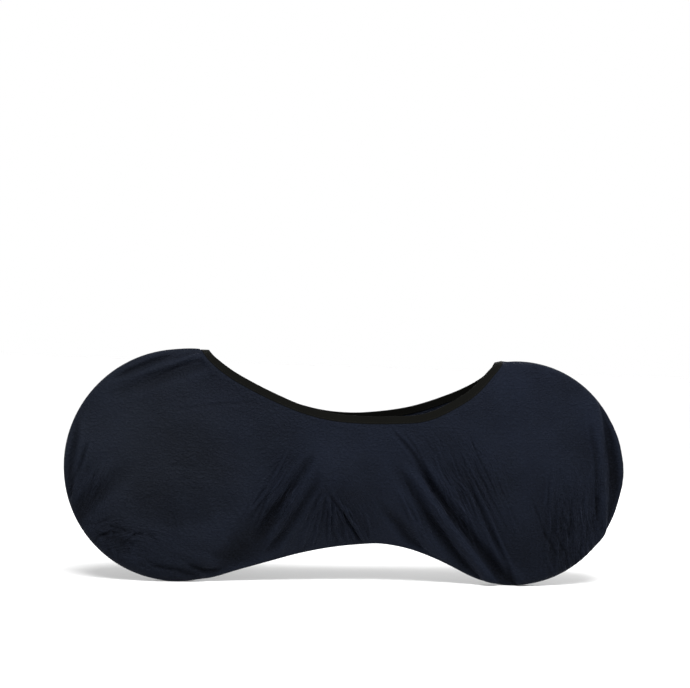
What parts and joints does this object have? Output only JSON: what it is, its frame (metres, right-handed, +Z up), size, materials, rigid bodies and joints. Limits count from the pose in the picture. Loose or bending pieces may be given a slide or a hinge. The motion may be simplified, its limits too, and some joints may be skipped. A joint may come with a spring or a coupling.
{
  "type": "bicycle cover",
  "caption": "Stretch-knit storage cover that wraps a bicycle's wheels and drivetrain, with an elastic-banded opening on top for the frame.",
  "frame": {"origin": "on the floor below the middle between the wheels, in the bicycle's middle plane", "axes": "+X towards the rear wheel, -Y towards the bicycle's left side, +Z up"},
  "size_m": [1.7298, 0.2313, 0.6936],
  "materials": {
    "knit": "matte dark navy stretch knit with a faint sheen",
    "elastic": "matte black woven elastic"
  },
  "bodies": {
    "root": {"side_panel_left": "knit", "side_panel_right": "knit", "opening_band": "elastic"}
  },
  "joints": []
}
